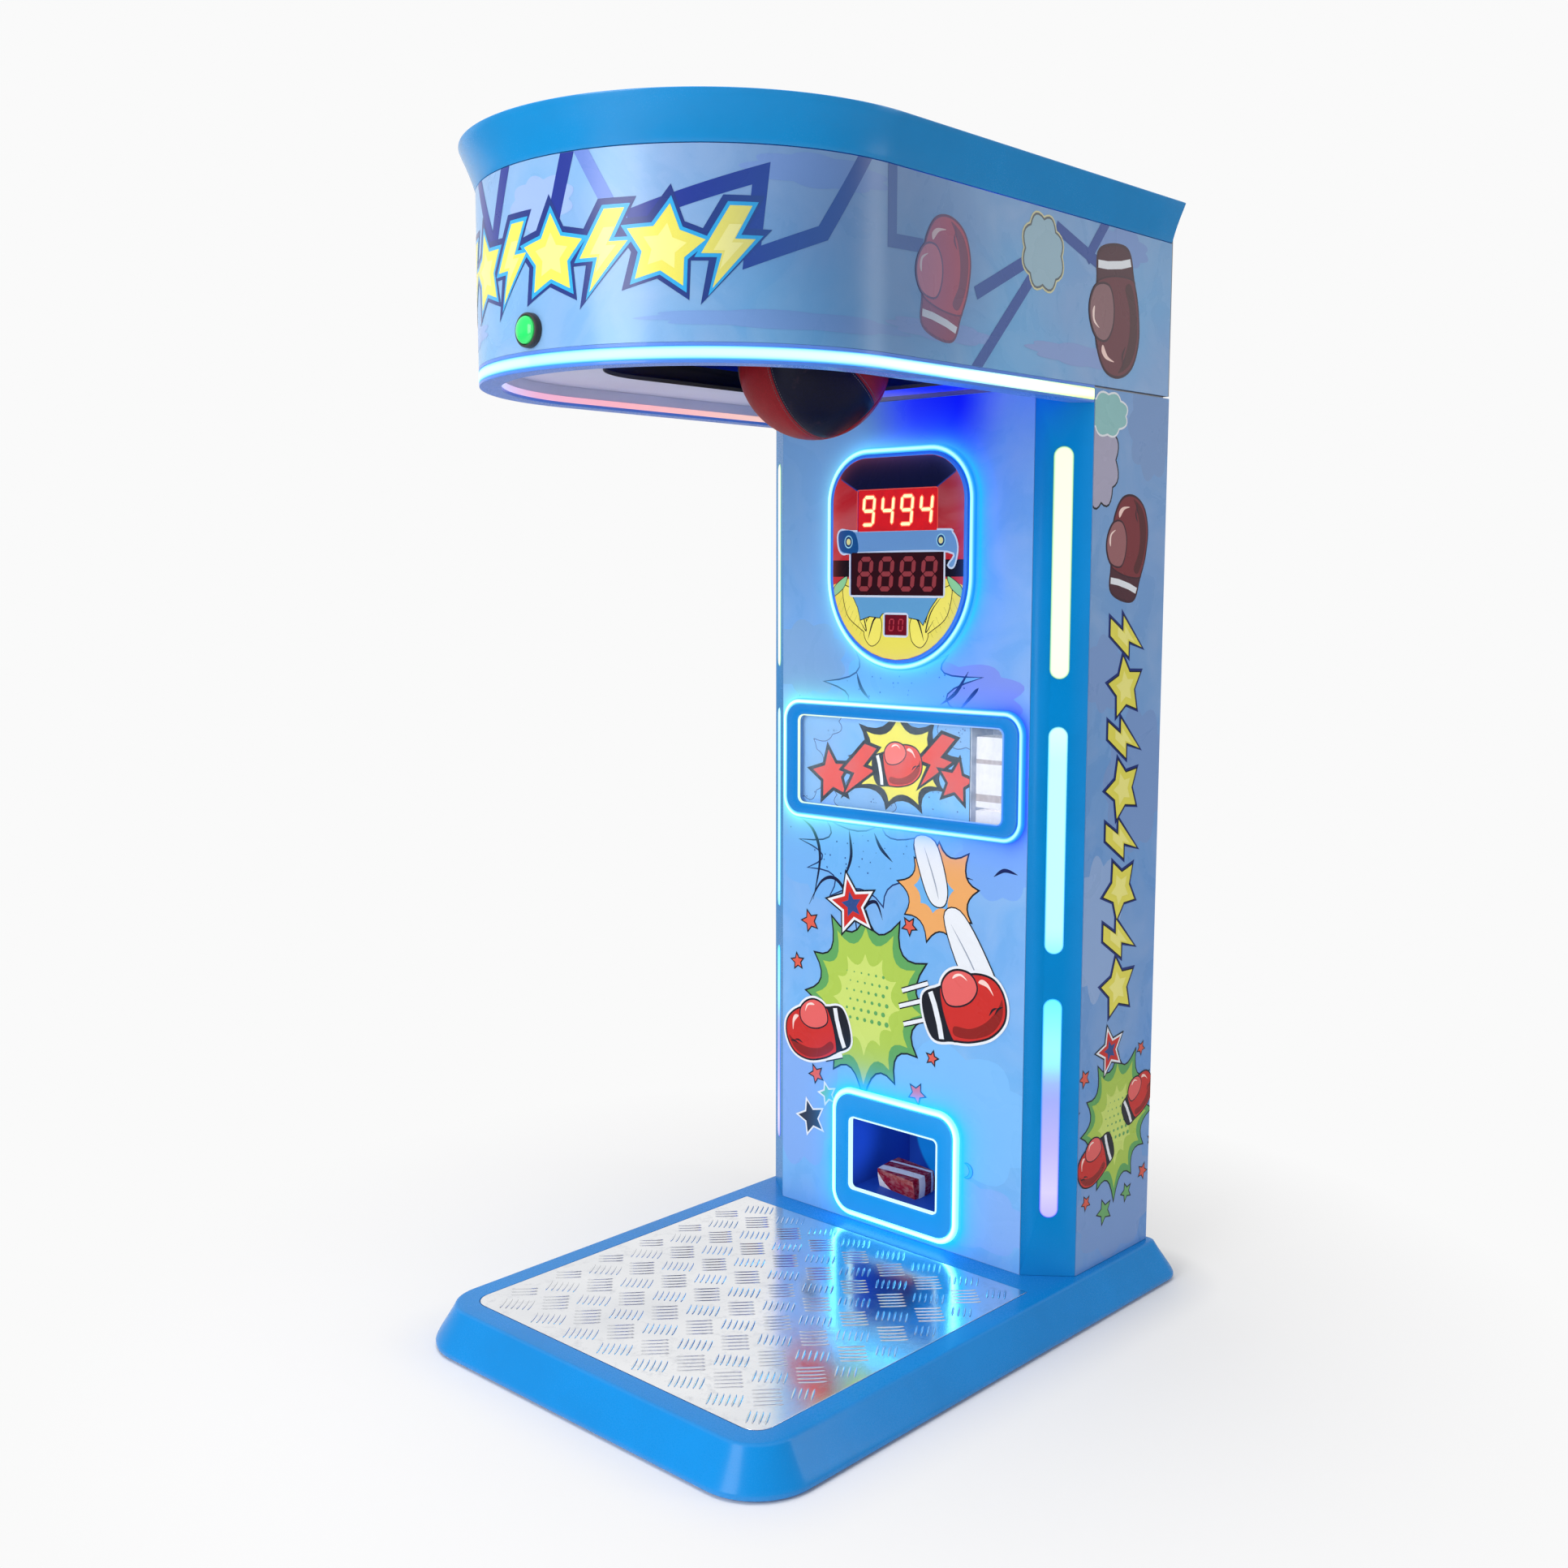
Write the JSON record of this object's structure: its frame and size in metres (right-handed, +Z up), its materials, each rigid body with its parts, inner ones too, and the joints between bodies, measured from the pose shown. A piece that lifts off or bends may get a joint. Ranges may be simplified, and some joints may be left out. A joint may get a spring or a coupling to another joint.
{
  "type": "boxing punch machine",
  "caption": "Free-standing arcade punch machine for children: tread-plate plinth, slim lit column, round-nosed overhanging head with a punch ball on a swing arm, digit display and prize chute.",
  "frame": {"origin": "on the floor under the middle of the machine's outline", "axes": "+Z up, the player stands at -Y and faces +Y, +X to the player's right"},
  "size_m": [0.739, 1.084, 1.745],
  "materials": {
    "plinth_blue": "painted board, satin",
    "tread_aluminium": "raised-bar tread plate",
    "foot_rubber": "moulded rubber",
    "printed_panel": "printed film over painted sheet",
    "printed_front": "printed film over composite sheet",
    "trim_blue": "gloss blue paint",
    "trim_blue_moulded": "moulded blue trim",
    "light_lens": "diffusing lens over a light strip",
    "service_grey": "textured grey paint",
    "bright_steel": "zinc-plated steel",
    "top_plate": "milled aluminium",
    "chrome": "polished plating",
    "frame_black": "black powder coat",
    "display_housing": "printed plastic housing",
    "display_red": "red filter over digit segments",
    "window_pane": "clear acrylic with a printed insert",
    "tray_blue": "dark blue moulded tray",
    "black_plastic": "black plastic",
    "white_plastic": "white acetal",
    "button_green": "translucent green cap",
    "board_green": "circuit board",
    "underside_grey": "pale grey sheet",
    "ball_leather": "red and black sewn ball cover over foam"
  },
  "bodies": {
    "cabinet": {"base_plinth": "plinth_blue", "tread_plate": "tread_aluminium", "foot_strip_left": "foot_rubber", "foot_strip_right": "foot_rubber", "side_panel_left": "printed_panel", "side_panel_right": "printed_panel", "corner_post_left": "trim_blue", "corner_post_right": "trim_blue", "front_panel": "printed_front", "rear_panel": "service_grey", "column_top_plate": "top_plate", "hinge_frame_leaf": "bright_steel", "hinge_pin": "bright_steel", "display_light": "light_lens", "display_housing": "display_housing", "score_display": "display_red", "best_display": "display_red", "credit_display": "display_red", "window_light": "light_lens", "window_frame": "trim_blue_moulded", "window_panel": "window_pane", "prize_magazine": "bright_steel", "vend_solenoid": "black_plastic", "chute_light": "light_lens", "chute_frame": "trim_blue_moulded", "prize_tray": "tray_blue", "power_inlet": "black_plastic", "power_supply": "bright_steel", "control_board": "board_green", "head_wrap": "printed_front", "head_crown": "trim_blue_moulded", "head_lid": "trim_blue_moulded", "head_back": "service_grey", "head_rim": "trim_blue_moulded", "head_light": "light_lens", "underside_panel": "underside_grey", "swing_frame_left": "frame_black", "swing_frame_right": "frame_black", "bearing_left": "bright_steel", "bearing_right": "bright_steel", "magnet_beam": "frame_black", "hold_magnet": "bright_steel", "button_bezel": "black_plastic", "button_switch": "black_plastic", "corner_light_left_top": "light_lens", "corner_light_left_middle": "light_lens", "corner_light_left_bottom": "light_lens", "corner_light_right_top": "light_lens", "corner_light_right_middle": "light_lens", "corner_light_right_bottom": "light_lens"},
    "swing": {"pivot_shaft": "bright_steel", "swing_arm": "frame_black", "ball_collar": "black_plastic", "punch_ball": "ball_leather", "encoder_disc": "black_plastic"},
    "start_button": {"button_cap": "button_green"},
    "rear_door_leaf": {"rear_door": "service_grey", "door_lock": "chrome"},
    "lock_cam": {"door_lock_cam": "bright_steel"},
    "pusher": {"vend_pusher": "white_plastic"}
  },
  "joints": [
    {"name": "ball_swing", "type": "hinge", "parent": "cabinet", "child": "swing", "pos_m": [0, -0.27, 1.68], "axis": [-1, 0, 0], "range_deg": [0, 64]},
    {"name": "start_press", "type": "slide", "parent": "cabinet", "child": "start_button", "axis": [0, 1, 0], "range_m": [0, 0.004], "stiffness_N_per_m": 400},
    {"name": "door_open", "type": "hinge", "parent": "cabinet", "child": "rear_door_leaf", "pos_m": [-0.2955, 0.506, 0.887], "axis": [0, 0, 1], "range_deg": [0, 110]},
    {"name": "lock_turn", "type": "hinge", "parent": "rear_door_leaf", "child": "lock_cam", "pos_m": [0.262, 0.494, 0.9], "axis": [0, -1, 0], "range_deg": [0, 90]},
    {"name": "pusher_stroke", "type": "slide", "parent": "cabinet", "child": "pusher", "axis": [-1, 0, 0], "range_m": [0, 0.07], "stiffness_N_per_m": 60}
  ]
}
